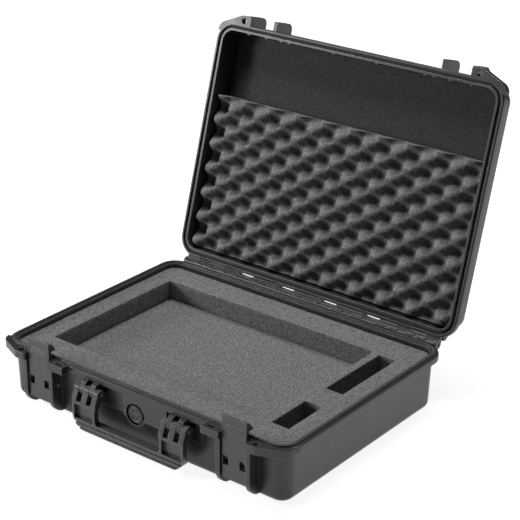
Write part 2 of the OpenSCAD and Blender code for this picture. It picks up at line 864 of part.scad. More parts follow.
module latch() {
    top = base_h + rim_t + latch_head;
    x0 = latch_x - latch_w / 2;
    x1 = latch_x + latch_w / 2;
    stem = latch_w - 2 * window_w - 3;
    ridge_t = 0.7;
    color(plastic) difference() {
        union() {
            intersection() {
                along_x(x0, x1) latch_profile();
                rod_y(-case_d, 0, latch_x, top - crown_r, crown_r);
            }
            rod_x(latch_x - stem / 2, latch_x + stem / 2, -latch_pivot_y, latch_pivot_z, barrel_r);
            along_x(latch_x - stem / 2, latch_x + stem / 2) translate(
                [-latch_rear_y - 1, latch_pivot_z - barrel_r])
                square([latch_rear_y - latch_pivot_y + 1, 2 * barrel_r]);
            for (k = [0 : 2])
                translate([latch_x - 14, -latch_front_y - ridge_t, base_h + 3 + 4 * k])
                    cube([28, ridge_t + 1, 1.2]);
        }
        for (s = [-1, 1]) {
            x = latch_x + s * (latch_w / 2 - 1.5 - window_w / 2);
            translate([x - window_w / 2, -latch_front_y - 1, latch_pivot_z - window_h / 2])
                cube([window_w, latch_t + 2, window_h]);
        }
        rod_x(x0 - 1, x1 + 1, -latch_pivot_y, latch_pivot_z, latch_pin_d / 2 + pin_gap);
    }
}

// ---------------------------------------------------------------- handle

// Front view of the handle's frame, as (x, z)
module handle_outline() {
    top = handle_pivot_z - 14;
    r = handle_corner_r;
    grip_top = handle_foot + grip_h;
    fillet = 6;
    difference() {
        union() {
            translate([-handle_w / 2, handle_foot + r]) square([handle_w, top - handle_foot - r]);
            translate([-handle_w / 2 + r, handle_foot]) square([handle_w - 2 * r, r + 1]);
            translate([handle_w / 2 - r, handle_foot + r]) quarter(r, 270);
            translate([r - handle_w / 2, handle_foot + r]) quarter(r, 180);
        }
        translate([-grip_w / 2, grip_top + fillet]) square([grip_w, top]);
        translate([-grip_w / 2 + fillet, grip_top]) square([grip_w - 2 * fillet, fillet + 1]);
        for (s = [-1, 1]) translate([s * (grip_w / 2 - fillet), grip_top + fillet]) circle(fillet);
    }
}

// Side view of the handle's bar, as (y, z)
module bar_profile() {
    y = -handle_front_y;
    translate([y, handle_foot + bar_r]) square([grip_t, grip_h - 2 * bar_r]);
    translate([y + bar_r, handle_foot]) square([grip_t - 2 * bar_r, grip_h]);
    for (v = [bar_r, grip_t - bar_r], w = [bar_r, grip_h - bar_r])
        translate([y + v, handle_foot + w]) circle(bar_r);
}

// Rounds the handle's lower front edge and cuts the grooves along its bar
module bar_trim() {
    along_x(-handle_w, handle_w) translate([-handle_front_y, handle_foot]) {
        difference() {
            translate([-1, -1]) square(bar_r + 1);
            translate([bar_r, bar_r]) circle(bar_r);
        }
        for (g = bar_grooves) translate([-1, g[0]]) square([bar_groove_depth + 1, g[1]]);
    }
}

// Side view of a loop and its neck, as (y, z)
module loop_profile() {
    y = -handle_front_y;
    translate([-handle_pivot_y, handle_pivot_z]) circle(loop_r);
    polygon([
        [-handle_pivot_y - loop_r, handle_pivot_z], [y, handle_pivot_z - 10.5],
        [y, handle_pivot_z - 18], [y + arm_t, handle_pivot_z - 18],
        [-handle_pivot_y, handle_pivot_z - loop_r]
    ]);
}

module handle() {
    x_out = handle_w / 2;
    x_mid = lug_centres[0] - lug_w / 2 - loop_gap;
    x_in = lug_centres[1] - lug_w / 2 - loop_gap;
    arm_in = x_in - end_loop_w;
    pocket_top = handle_pivot_z - 18;
    pocket_foot = handle_foot + grip_h + 1;
    color(plastic) difference() {
        union() {
            along_y(-handle_front_y, -handle_front_y + arm_t) handle_outline();
            intersection() {
                along_x(-x_out, x_out) bar_profile();
                along_y(-handle_front_y - 2, -handle_front_y + grip_t + 2) handle_outline();
            }
            both_sides() {
                along_x(x_out - end_loop_w, x_out) loop_profile();
                along_x(x_mid - mid_loop_w, x_mid) loop_profile();
                along_x(arm_in, x_in) loop_profile();
            }
        }
        both_sides() {
            handle_pin_bore();
            box([grip_w / 2 + arm_frame, -handle_front_y - 1, pocket_foot],
                [x_out - arm_frame, -handle_front_y + arm_t - arm_floor, pocket_top]);
        }
        bar_trim();
    }
}

// ---------------------------------------------------------------- what is drawn

base_shell();
base_foam_floor();
base_foam_insert();
color(steel) mirror([1, 0, 0]) hinge_pin();  // hinge_pin_left
color(steel) hinge_pin();  // hinge_pin_right
color(steel) mirror([1, 0, 0]) latch_pin();  // latch_pin_left
color(steel) latch_pin();  // latch_pin_right
color(steel) mirror([1, 0, 0]) handle_pin();  // handle_pin_left
color(steel) handle_pin();  // handle_pin_right
valve_body();
valve_seal();
valve_membrane();
valve_cap();
valve_nut();
lid_shell();
lid_gasket();
lid_foam_lining();
pocket_panel();
eggcrate_foam();
mirror([1, 0, 0]) latch();  // latch_left
latch();  // latch_right
handle();
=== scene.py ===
# %% [markdown]
# # A moulded hard case, finished in Blender
# The measured model gives every hard part of the case in metres, each one riding on the body that
# moves it. This lesson gives those parts their plastic, steel and rubber, and then builds what a
# measured model says little about: the cut foam in the base, the lining in the lid and the
# egg-crate foam on the document pocket.

# %% Load the measured case
import json
import math

import bpy
from mathutils import Matrix, Vector


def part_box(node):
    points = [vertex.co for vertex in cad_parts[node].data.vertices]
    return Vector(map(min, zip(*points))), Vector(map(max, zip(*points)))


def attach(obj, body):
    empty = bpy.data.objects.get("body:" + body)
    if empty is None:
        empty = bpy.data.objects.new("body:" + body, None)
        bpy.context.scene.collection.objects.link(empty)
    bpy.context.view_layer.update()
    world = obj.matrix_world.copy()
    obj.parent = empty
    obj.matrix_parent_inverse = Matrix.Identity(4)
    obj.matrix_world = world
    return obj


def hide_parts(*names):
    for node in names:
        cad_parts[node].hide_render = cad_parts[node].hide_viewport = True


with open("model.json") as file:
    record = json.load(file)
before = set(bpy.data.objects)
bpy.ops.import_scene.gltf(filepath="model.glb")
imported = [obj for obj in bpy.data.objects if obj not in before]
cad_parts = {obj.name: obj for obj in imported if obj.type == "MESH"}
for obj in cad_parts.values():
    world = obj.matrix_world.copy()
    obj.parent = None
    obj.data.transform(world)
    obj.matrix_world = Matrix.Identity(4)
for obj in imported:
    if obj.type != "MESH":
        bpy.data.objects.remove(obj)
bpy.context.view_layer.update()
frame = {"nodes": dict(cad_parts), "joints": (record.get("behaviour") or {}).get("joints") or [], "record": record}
nodes = frame["nodes"]

# %% [markdown]
# ## Camera
# The picture looks at the case from its front right and about 24 degrees from above, with a long
# lens, so the two long rims stay almost parallel. A camera could be pushed about until the view
# fits. It is easier to place from what a photographer would name: how far round, how high, how
# far off and what to aim at. A slight tilt then turns the picture as it was held.

# %% Camera at the photographer's place
IMAGE_SIZE = 520
SENSOR_MM = 36
FOCAL_PIXELS = 1632.94
AIM = Vector((-0.00629, 0.08952, 0.18077))
ROUND, HIGH, TILT = (math.radians(a) for a in (37.89, 23.73, 0.64))
DISTANCE = 2.3024

look = Vector((-math.sin(ROUND) * math.cos(HIGH), math.cos(ROUND) * math.cos(HIGH), -math.sin(HIGH)))
level_right = Vector((math.cos(ROUND), math.sin(ROUND), 0))
level_up = level_right.cross(look)
camera_right = level_right * math.cos(TILT) + level_up * math.sin(TILT)
camera_up = level_up * math.cos(TILT) - level_right * math.sin(TILT)

bpy.ops.object.select_all(action="DESELECT")
bpy.ops.object.camera_add(location=AIM - look * DISTANCE)
camera = bpy.context.active_object
camera.name = "photo_camera"
camera.data.sensor_width = SENSOR_MM
camera.data.lens = FOCAL_PIXELS * SENSOR_MM / IMAGE_SIZE
camera.rotation_euler = Matrix((camera_right, camera_up, -look)).transposed().to_euler()
bpy.context.scene.camera = camera
print("lens", round(camera.data.lens, 1), "mm, camera at", [round(v, 2) for v in camera.location])

# %% [markdown]
# ## Floor and backdrop
# The case stands on a white sweep. The white could come from strong lamps, but then the dark
# plastic would turn grey. So the floor is a plain grey to the lamps and glows white only to the
# camera and to mirrors, through the ray switches of the Light Path node. Mirror rays see that
# white too, which lifts the upright walls of the case. Near the case the white is turned down a
# little, so that the shadow shows, and it comes back to full white before the horizon.

# %% Helpers for node trees
def node_of(tree, kind, **settings):
    """A new node. A setting goes to the input of that name, or else to the node itself."""
    made = tree.nodes.new(kind)
    for name, value in settings.items():
        if name in made.inputs:
            made.inputs[name].default_value = value
        else:
            setattr(made, name, value)
    return made


def remap(tree, value, old, new):
    """Takes a value from one range to another, and holds it at the ends."""
    made = node_of(tree, "ShaderNodeMapRange")
    tree.links.new(value, made.inputs["Value"])
    for socket, number in zip(("From Min", "From Max", "To Min", "To Max"), (*old, *new)):
        made.inputs[socket].default_value = number
    return made.outputs["Result"]


def seen_directly(tree):
    """1 where a ray comes from the camera, or by way of a mirror or glass."""
    path = node_of(tree, "ShaderNodeLightPath")
    glossy = node_of(tree, "ShaderNodeMath", operation="MAXIMUM")
    clear = node_of(tree, "ShaderNodeMath", operation="MAXIMUM")
    tree.links.new(path.outputs["Is Camera Ray"], glossy.inputs[0])
    tree.links.new(path.outputs["Is Glossy Ray"], glossy.inputs[1])
    tree.links.new(glossy.outputs[0], clear.inputs[0])
    tree.links.new(path.outputs["Is Transmission Ray"], clear.inputs[1])
    return clear.outputs[0]


# %% Floor
FLOOR_SIZE = 14
FLOOR_DROP = 0.0005                  # keeps the floor just clear of the case's underside
FLOOR_GREY = 0.35                    # what the lamps meet
NEAR_WHITE, FULL_WHITE = 0.9, 1      # what the camera sees
WHITE_FADE = (0.4, 1.2)              # distances between which one becomes the other

bpy.ops.object.select_all(action="DESELECT")
bpy.ops.mesh.primitive_plane_add(size=FLOOR_SIZE, location=(0, 0, -FLOOR_DROP))
floor = bpy.context.active_object
floor.name = "floor"
floor_paint = bpy.data.materials.new("floor_white")
floor_paint.use_nodes = True
tree = floor_paint.node_tree
tree.nodes.clear()
surface = node_of(tree, "ShaderNodeOutputMaterial")
matt = node_of(tree, "ShaderNodeBsdfDiffuse", Color=(FLOOR_GREY, FLOOR_GREY, FLOOR_GREY, 1))
glow = node_of(tree, "ShaderNodeEmission", Color=(1, 1, 1, 1))
place = node_of(tree, "ShaderNodeTexCoord")
away = node_of(tree, "ShaderNodeVectorMath", operation="LENGTH")
lift = node_of(tree, "ShaderNodeMath", operation="MULTIPLY")
both = node_of(tree, "ShaderNodeAddShader")
white = remap(tree, away.outputs["Value"], WHITE_FADE, (NEAR_WHITE, FULL_WHITE))
tree.links.new(place.outputs["Object"], away.inputs[0])
tree.links.new(seen_directly(tree), lift.inputs[0])
tree.links.new(white, lift.inputs[1])
tree.links.new(lift.outputs[0], glow.inputs["Strength"])
tree.links.new(matt.outputs[0], both.inputs[0])
tree.links.new(glow.outputs[0], both.inputs[1])
tree.links.new(both.outputs[0], surface.inputs["Surface"])
floor.data.materials.append(floor_paint)
print("floor:", FLOOR_SIZE, "m square")

# %% Backdrop
WORLD_LIGHT = 0.02

world = bpy.data.worlds.new("studio")
world.use_nodes = True
bpy.context.scene.world = world
tree = world.node_tree
backdrop = tree.nodes["Background"]
backdrop.inputs["Color"].default_value = (1, 1, 1, 1)
strength = node_of(tree, "ShaderNodeMix", data_type="FLOAT")
strength.inputs["A"].default_value = WORLD_LIGHT
strength.inputs["B"].default_value = 1
camera_ray = node_of(tree, "ShaderNodeLightPath")
tree.links.new(camera_ray.outputs["Is Camera Ray"], strength.inputs["Factor"])
tree.links.new(strength.outputs["Result"], backdrop.inputs["Strength"])
print("backdrop lights the case at", WORLD_LIGHT)

# %% [markdown]
# ## Lamps
# One lamp beside the camera would be simpler, but it would fill the pits of the foam with light.
# A long overhead lamp and a smaller one at the front left both graze the open lid, which is what
# brings out the lobes of its foam. They light the case at a plain level, so a dark plastic
# renders about as dark as it is written. A weak third lamp opens up the shade on the right.

# %% Lamps
MIDDLE = (0, 0.08, 0.15)


def soft_lamp(name, place, size, power):
    bpy.ops.object.light_add(type="AREA", location=place)
    lamp = bpy.context.active_object
    lamp.name = name
    lamp.data.shape = "RECTANGLE"
    lamp.data.size, lamp.data.size_y = size
    lamp.data.energy = power
    lamp.rotation_euler = (Vector(MIDDLE) - Vector(place)).to_track_quat("-Z", "Y").to_euler()


bpy.ops.object.select_all(action="DESELECT")
soft_lamp("left_lamp", place=(-1.9, -1.4, 0.85), size=(0.6, 0.6), power=34)
soft_lamp("right_lamp", place=(2.3, 0.5, 0.35), size=(0.9, 0.4), power=2.5)
soft_lamp("overhead_lamp", place=(-0.2, 0.26, 2.3), size=(2.0, 0.4), power=48)

# %% [markdown]
# ## Moulded plastic
# The shells are one dark engineering plastic with a fine matt grain from the tool. Three things
# make it read as moulded: slow clouds of lighter and darker colour where the melt flowed, a grain
# too fine to see as dots that softens the highlights, and edges that catch the light. The edges
# could be bevelled in the mesh, but the measured parts are kept as they are. The Bevel node
# rounds an edge in its shading alone, and comparing its normal with the plain one gives a mask
# along the edges, where a lighter grey is mixed into the colour as a painted highlight. An
# Ambient Occlusion node does the opposite in the nooks and darkens their colour, a painted shade.

# %% Helpers for finishes
NOISE_SPAN = (0.3, 0.7)              # nearly all of a noise lies in here


def blank_material(name):
    paint = bpy.data.materials.new(name)
    paint.use_nodes = True
    tree = paint.node_tree
    place = node_of(tree, "ShaderNodeTexCoord")
    return paint, tree, tree.nodes["Principled BSDF"], place.outputs["Object"]


def noise(tree, place, scale, detail, roughness=0.5):
    made = node_of(tree, "ShaderNodeTexNoise", Scale=scale, Detail=detail, Roughness=roughness)
    tree.links.new(place, made.inputs["Vector"])
    return made.outputs["Fac"]


def ramp(tree, factor, low, high, span=NOISE_SPAN):
    """From one colour to another, as the factor goes through a span."""
    made = node_of(tree, "ShaderNodeValToRGB")
    tree.links.new(factor, made.inputs["Fac"])
    for element, position, colour in zip(made.color_ramp.elements, span, (low, high)):
        element.position = position
        element.color = (*colour, 1)
    return made.outputs["Color"]


def bump(tree, height, strength, distance, normal=None):
    made = node_of(tree, "ShaderNodeBump", Strength=strength, Distance=distance)
    tree.links.new(height, made.inputs["Height"])
    if normal is not None:
        tree.links.new(normal, made.inputs["Normal"])
    return made.outputs["Normal"]


def grey(value, warm=0.0):
    return (value * (1 + warm), value, value * (1 - warm * 0.5))


# %% Painted highlights on edges and painted shade in nooks
EDGE_RADIUS = 0.0012
EDGE_TURN = (0.99, 0.9)              # cosines of the turn where the painted highlight begins and where it is full
# painted highlight: the lighter grey mixed into the colour along edges
EDGE_HIGHLIGHT_TONE = 0.38
NOOK_REACH = 0.006
NOOK_OPENNESS = (0.3, 0.85)          # from a deep nook to an open face
NOOK_SHADE = 0.1                     # share of its colour that a deep nook keeps under the painted shade
SHADING_SAMPLES = 4


def rounded_normal(tree):
    bevel = node_of(tree, "ShaderNodeBevel", samples=SHADING_SAMPLES, Radius=EDGE_RADIUS)
    return bevel.outputs["Normal"]


# Painted shade: an Ambient Occlusion node darkens the colour in the nooks.
def paint_shade_in_nooks(tree, colour):
    nook = node_of(tree, "ShaderNodeAmbientOcclusion", samples=SHADING_SAMPLES, Distance=NOOK_REACH)
    painted_shade = remap(tree, nook.outputs["AO"], NOOK_OPENNESS, (NOOK_SHADE, 1.0))
    deep = node_of(tree, "ShaderNodeVectorMath", operation="SCALE")
    tree.links.new(colour, deep.inputs[0])
    tree.links.new(painted_shade, deep.inputs["Scale"])
    return deep.outputs["Vector"]


# Painted highlight: mixes a lighter grey into the colour where the rounded normal turns at an edge.
def paint_edge_highlights(tree, colour, rounded, amount):
    plain = node_of(tree, "ShaderNodeNewGeometry")
    turn = node_of(tree, "ShaderNodeVectorMath", operation="DOT_PRODUCT")
    tree.links.new(rounded, turn.inputs[0])
    tree.links.new(plain.outputs["Normal"], turn.inputs[1])
    highlight_mix = node_of(tree, "ShaderNodeMix", data_type="RGBA")
    tree.links.new(remap(tree, turn.outputs["Value"], EDGE_TURN, (0.0, amount)), highlight_mix.inputs["Factor"])
    tree.links.new(colour, highlight_mix.inputs["A"])
    highlight_mix.inputs["B"].default_value = (*grey(EDGE_HIGHLIGHT_TONE), 1)
    return highlight_mix.outputs["Result"]


# %% Plastics
CLOUD_SCALE, PATCH_SCALE = 9, 38     # per metre
CLOUD_SPREAD = 0.07
SHINIER, DULLER = 0.03, 0.04         # how far patches differ from the plastic's own roughness
PLASTIC_SHINE = 0.55
GRAIN_STRENGTH, GRAIN_DEPTH = 0.25, 0.00012


def moulded_plastic(name, tone, gloss, grain, edge_light):
    paint, tree, skin, place = blank_material(name)
    clouds = noise(tree, place, CLOUD_SCALE, detail=3)
    base = ramp(tree, clouds, grey(tone * (1 - CLOUD_SPREAD)), grey(tone * (1 + CLOUD_SPREAD)))
    rounded = rounded_normal(tree)
    # The base colour carries painted shade in the nooks and a painted highlight along the edges.
    shaded_and_highlighted = paint_edge_highlights(tree, paint_shade_in_nooks(tree, base), rounded, edge_light)
    patches = noise(tree, place, PATCH_SCALE, detail=4)
    matt = remap(tree, patches, NOISE_SPAN, (gloss - SHINIER, gloss + DULLER))
    fine = noise(tree, place, grain, detail=2, roughness=0.6)
    tree.links.new(shaded_and_highlighted, skin.inputs["Base Color"])
    tree.links.new(matt, skin.inputs["Roughness"])
    tree.links.new(bump(tree, fine, GRAIN_STRENGTH, GRAIN_DEPTH, rounded), skin.inputs["Normal"])
    skin.inputs["Specular IOR Level"].default_value = PLASTIC_SHINE
    return paint


finishes = {
    "shell": moulded_plastic("shell_plastic", tone=0.028, gloss=0.36, grain=1500, edge_light=0.8),
    # The latches are the shell's plastic with a lighter tone, painted light for the brighter light on their front
    # faces.
    "latch_plastic": moulded_plastic("latch_plastic", tone=0.060, gloss=0.36, grain=1900, edge_light=0.85),
    "fittings": moulded_plastic("fittings_plastic", tone=0.020, gloss=0.34, grain=2200, edge_light=0.8),
}
print("plastics:", sorted(finishes))

# %% [markdown]
# ## Steel, rubber and membrane
# The pins are drawn steel, with fine lines along the rod where the die scratched it. A picture of
# scratches could be wrapped round them, but it would show its seam. A Mapping node squeezes a
# noise across the rod instead and leaves its length as it was. The gasket is dull closed-cell
# rubber, and the valve's membrane a pressed white felt. All three are small, so each needs only
# one telling trait at its true scale.

# %% Steel, rubber and membrane
LINE_SCALE, LINE_SQUEEZE = 220, 14
DARK_STEEL, LIGHT_STEEL = (0.42, 0.42, 0.43), (0.66, 0.66, 0.67)


def drawn_steel():
    paint, tree, skin, place = blank_material("pin_steel")
    stretch = node_of(tree, "ShaderNodeMapping", Scale=(1, LINE_SQUEEZE, LINE_SQUEEZE))
    tree.links.new(place, stretch.inputs["Vector"])
    lines = noise(tree, stretch.outputs["Vector"], LINE_SCALE, detail=3)
    tree.links.new(ramp(tree, lines, DARK_STEEL, LIGHT_STEEL), skin.inputs["Base Color"])
    tree.links.new(remap(tree, lines, NOISE_SPAN, (0.28, 0.45)), skin.inputs["Roughness"])
    tree.links.new(bump(tree, lines, strength=0.2, distance=0.00005), skin.inputs["Normal"])
    skin.inputs["Metallic"].default_value = 1
    return paint


def seal_rubber():
    paint, tree, skin, place = blank_material("seal_rubber")
    pores = noise(tree, place, scale=1400, detail=3, roughness=0.6)
    rubber = ramp(tree, pores, grey(0.014), grey(0.034), span=(0.35, 0.75))
    tree.links.new(rubber, skin.inputs["Base Color"])
    tree.links.new(remap(tree, pores, NOISE_SPAN, (0.62, 0.8)), skin.inputs["Roughness"])
    tree.links.new(bump(tree, pores, strength=0.35, distance=0.0001), skin.inputs["Normal"])
    return paint


def membrane_felt():
    paint, tree, skin, place = blank_material("membrane_felt")
    hairs = noise(tree, place, scale=2600, detail=5, roughness=0.7)
    felt = ramp(tree, hairs, grey(0.62, warm=0.02), grey(0.8, warm=0.02))
    tree.links.new(felt, skin.inputs["Base Color"])
    tree.links.new(bump(tree, hairs, strength=0.5, distance=0.00008), skin.inputs["Normal"])
    skin.inputs["Roughness"].default_value = 0.9
    return paint


finishes["pin_steel"] = drawn_steel()
finishes["seal_rubber"] = seal_rubber()
finishes["membrane"] = membrane_felt()
print("finishes so far:", sorted(finishes))

# %% [markdown]
# ## Foam
# Polyether foam is a mass of open cells. From a step away each cell is a dark pore beside a light
# strut, so the surface looks peppered, and it has hardly any highlight. Modelled cells would run
# to millions, so a texture stands in for them. Voronoi gives pores of one to two millimetres, a
# noise breaks them up, and the same two textures drive the bump. The foams of the case differ in
# tone, and the lining's pores are the finest.

# %% Foam
PEPPER_SHARE = 0.55                  # how much of the mottling is noise and not pores
PEPPER_SCALE = 0.45                  # its scale, as a share of the pores' scale
FOAM_SPAN = (0.28, 0.72)
FOAM_RELIEF = 0.6


def open_foam(name, dark, light, pore, warm, depth):
    paint, tree, skin, place = blank_material(name)
    cells = node_of(tree, "ShaderNodeTexVoronoi", Scale=1 / pore, feature="F1")
    tree.links.new(place, cells.inputs["Vector"])
    pepper = noise(tree, place, PEPPER_SCALE / pore, detail=3, roughness=0.7)
    mixed = node_of(tree, "ShaderNodeMix", data_type="FLOAT")
    mixed.inputs["Factor"].default_value = PEPPER_SHARE
    tree.links.new(cells.outputs["Distance"], mixed.inputs["A"])
    tree.links.new(pepper, mixed.inputs["B"])
    mottled = mixed.outputs["Result"]
    colour = ramp(tree, mottled, grey(dark, warm), grey(light, warm), FOAM_SPAN)
    tree.links.new(colour, skin.inputs["Base Color"])
    tree.links.new(bump(tree, mottled, FOAM_RELIEF, depth), skin.inputs["Normal"])
    skin.inputs["Roughness"].default_value = 1
    skin.inputs["Specular IOR Level"].default_value = 0.1
    return paint


finishes.update({
    "cut_foam": open_foam("cut_foam", dark=0.05, light=0.26, pore=0.0018, warm=0.02, depth=0.0006),
    "lining_foam": open_foam("lining_foam", dark=0.03, light=0.105, pore=0.0014, warm=0.0, depth=0.0003),
    "crate_foam": open_foam("crate_foam", dark=0.06, light=0.30, pore=0.0018, warm=0.02, depth=0.0006),
})
print("finishes in all:", len(finishes))

# %% [markdown]
# ## The measured parts
# Each part could be given its finish by hand. But the record that comes with the measured model
# names a material slot for every part, and looking the finish up by that name keeps the two in
# step, however many parts there are.

# %% Finish every part of the measured case
slot_of = {row["node"]: row["material_slot"] for row in frame["record"]["subparts"]}
for name, node in nodes.items():
    node.data.materials.clear()
    node.data.materials.append(finishes[slot_of[name]])
print("finished nodes:", len(slot_of))

# %% [markdown]
# ## Cut foam in the base
# The base holds two layers of foam. The lower one is a plain block. The upper one has three bays
# cut right through it with a blade. A Boolean could cut them, but it leaves long thin faces that
# bend badly later. So a layer starts as a flat sheet with rounded corners, and Bisect cuts it
# into a grid that has lines exactly along the bays. The faces in the bays are deleted, and the
# rest is extruded to its thickness, tapering with the walls of the base.

# %% A sheet of foam with rounded corners
CORNER_SEGMENTS = 10


def take(piece):
    """Selects this piece alone."""
    bpy.ops.object.select_all(action="DESELECT")
    piece.select_set(True)
    bpy.context.view_layer.objects.active = piece


def edit(piece, mode="FACE"):
    take(piece)
    bpy.ops.object.mode_set(mode="EDIT")
    bpy.ops.mesh.select_mode(type=mode)
    bpy.ops.mesh.select_all(action="DESELECT")


def rounded_sheet(name, half_w, half_d, corner, height):
    """A flat sheet about the Z axis at a height, left in edit mode."""
    bpy.ops.object.select_all(action="DESELECT")
    bpy.ops.mesh.primitive_plane_add(size=2, location=(0, 0, height))
    piece = bpy.context.active_object
    piece.name = piece.data.name = name
    piece.scale = (half_w, half_d, 1)
    bpy.ops.object.transform_apply(location=True, rotation=True, scale=True)
    edit(piece, "VERT")
    bpy.ops.mesh.select_all(action="SELECT")
    bpy.ops.mesh.bevel(affect="VERTICES", offset=corner, offset_type="OFFSET", segments=CORNER_SEGMENTS)
    return piece


# %% Cutting a sheet into a grid
def grid_places(half, step, exact=()):
    """Places about a step apart between two ends, with the exact ones among them."""
    marks = sorted({-half, half, *exact})
    places = set(exact)
    for a, b in zip(marks, marks[1:]):
        parts = max(1, round((b - a) / step))
        places.update(a + (b - a) * k / parts for k in range(1, parts))
    return sorted(places)


def cut_lines(axis, places):
    """Cuts the mesh in edit mode by planes across an axis."""
    normal = Vector((0, 0, 0))
    normal[axis] = 1
    for place in places:
        bpy.ops.mesh.select_all(action="SELECT")
        bpy.ops.mesh.bisect(plane_co=normal * place, plane_no=normal)


def choose_faces(piece, test):
    """Selects the faces whose middle passes the test, and stays in edit mode."""
    bpy.ops.mesh.select_mode(type="FACE")
    bpy.ops.mesh.select_all(action="DESELECT")
    bpy.ops.object.mode_set(mode="OBJECT")
    for face in piece.data.polygons:
        face.select = test(face.center)
    bpy.ops.object.mode_set(mode="EDIT")


# %% Giving a sheet its thickness
LAYERS = 4


def tapered_rings(half_sizes, start, end):
    """Steps from one height to another for sides that lean: (rise, width and depth factors)."""
    step = (end - start) / LAYERS
    rings = []
    for k in range(LAYERS):
        before, after = half_sizes(start + step * k), half_sizes(start + step * (k + 1))
        rings.append((step, after[0] / before[0], after[1] / before[1]))
    return rings


def thicken(rings):
    """Extrudes the sheet in edit mode ring by ring, and leaves edit mode."""
    bpy.ops.mesh.select_all(action="SELECT")
    for rise, wide, deep in rings:
        bpy.ops.mesh.extrude_region_move(TRANSFORM_OT_translate={"value": (0, 0, rise)})
        bpy.ops.transform.resize(value=(wide, deep, 1), center_override=(0, 0, 0))
    bpy.ops.mesh.select_all(action="SELECT")
    bpy.ops.mesh.normals_make_consistent(inside=False)
    bpy.ops.object.mode_set(mode="OBJECT")


# %% [markdown]
# A blade wanders in a soft block, and the foam springs back round its cut. So a little noise moves
# the cut faces, and a small bevel takes away the ideal edges. Each finished piece then gets its
# foam finish and rides on its body, and the part of the measured case that it stands for is hidden.

# %% The hand of the cutter
BLADE_EDGE_ANGLE = 40                # degrees; only edges that turn by more are rounded
SMOOTH_BELOW = 35                    # degrees; gentler turns are shaded smooth


def apply_modifier(piece, kind, **settings):
    bpy.context.view_layer.objects.active = piece
    made = piece.modifiers.new(kind.lower(), kind)
    for name, value in settings.items():
        setattr(made, name, value)
    bpy.ops.object.modifier_apply(modifier=made.name)


def soften(piece, edge, angle):
    """Bevels the edges that turn by more than an angle."""
    apply_modifier(piece, "BEVEL", width=edge, segments=2,
                   limit_method="ANGLE", angle_limit=math.radians(angle))


def hand_cut(piece, wander, size, edge):
    """Rounds the cut edges and lets the faces wander a little."""
    soften(piece, edge, BLADE_EDGE_ANGLE)
    cloud = bpy.data.textures.new(piece.name + "_wander", "CLOUDS")
    cloud.noise_scale = size
    apply_modifier(piece, "DISPLACE", texture=cloud, texture_coords="LOCAL",
                   strength=wander, mid_level=0.5)
    bpy.ops.object.shade_smooth_by_angle(angle=math.radians(SMOOTH_BELOW))


def finish_foam(piece, body, slot, node):
    piece.data.materials.clear()
    piece.data.materials.append(finishes[slot])
    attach(piece, body)
    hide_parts(node)
    print(piece.name, len(piece.data.polygons), "faces")


# %% Sizes of the base's foam
insert_low, insert_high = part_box("base_foam_insert")
block_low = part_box("base_foam_floor")[0]
PARTING = 0.085                      # height of the plane where the two shells meet
DRAFT = math.tan(math.radians(2))
HALF_W = insert_high.x + (PARTING - insert_high.z) * DRAFT
HALF_D = insert_high.y + (PARTING - insert_high.z) * DRAFT
FOAM_CORNER = 0.0172
GRID_STEP = 0.012
LAYER_GAP, FLOOR_GAP = 0.0003, 0.0004
BAYS = [                             # low x, high x, low y, high y
    (-0.207, 0.168, -0.122, 0.125),
    (0.180, 0.2075, -0.122, -0.050),
    (0.180, 0.2075, -0.004, 0.121),
]
print("foam at the parting plane:", round(2 * HALF_W, 4), "x", round(2 * HALF_D, 4))

# %% Foam blocks of the base
def base_half_sizes(height):
    shrink = (PARTING - height) * DRAFT
    return HALF_W - shrink, HALF_D - shrink


def in_bay(point):
    return any(a < point.x < b and c < point.y < d for a, b, c, d in BAYS)


def foam_block(name, top, bottom, bays=()):
    wide, deep = base_half_sizes(top)
    piece = rounded_sheet(name, wide, deep, FOAM_CORNER, top)
    cut_lines(0, grid_places(wide, GRID_STEP, {x for bay in bays for x in bay[:2]}))
    cut_lines(1, grid_places(deep, GRID_STEP, {y for bay in bays for y in bay[2:]}))
    if bays:
        choose_faces(piece, in_bay)
        bpy.ops.mesh.delete(type="FACE")
    thicken(tapered_rings(base_half_sizes, top, bottom))
    return piece


upper_foam = foam_block("base_foam_upper", insert_high.z, insert_low.z, BAYS)
hand_cut(upper_foam, wander=0.0006, size=0.03, edge=0.0006)
finish_foam(upper_foam, "base", "cut_foam", "base_foam_insert")
lower_foam = foam_block("base_foam_lower", insert_low.z - LAYER_GAP, block_low.z + FLOOR_GAP)
hand_cut(lower_foam, wander=0.0004, size=0.03, edge=0.0006)
finish_foam(lower_foam, "base", "cut_foam", "base_foam_floor")

# %% [markdown]
# ## Lining of the lid
# A sheet of dense foam lies against the inside of the lid. It could be modelled where it stands,
# leaning in the open lid, but a flat piece is far easier to lay out. So it is modelled with the
# lid shut, and then swung open about the hinge with the same turn that the measured lid has. The
# swing is applied to the mesh, so the object itself stays at the origin. The same turn backwards
# shows how large the measured parts are with the lid shut.

# %% The lid's swing
hinge = next(j for j in frame["joints"] if j["name"] == "lid_hinge")
hinge_point = Vector(hinge["pos_m"])
open_angle = math.radians(hinge["range_deg"][1])
swing_open = (Matrix.Translation(hinge_point) @ Matrix.Rotation(-open_angle, 4, "X")
              @ Matrix.Translation(-hinge_point))


def box_when_shut(node):
    """Lowest and highest corner of a measured part of the lid, with the lid shut."""
    swing_shut = swing_open.inverted()
    places = [swing_shut @ point.co for point in nodes[node].data.vertices]
    return Vector(map(min, zip(*places))), Vector(map(max, zip(*places)))


def open_with_lid(piece):
    take(piece)
    piece.matrix_world = swing_open
    bpy.ops.object.transform_apply(location=True, rotation=True, scale=True)


print("lid opens", round(hinge["range_deg"][1], 1), "degrees about", [round(v, 4) for v in hinge_point])

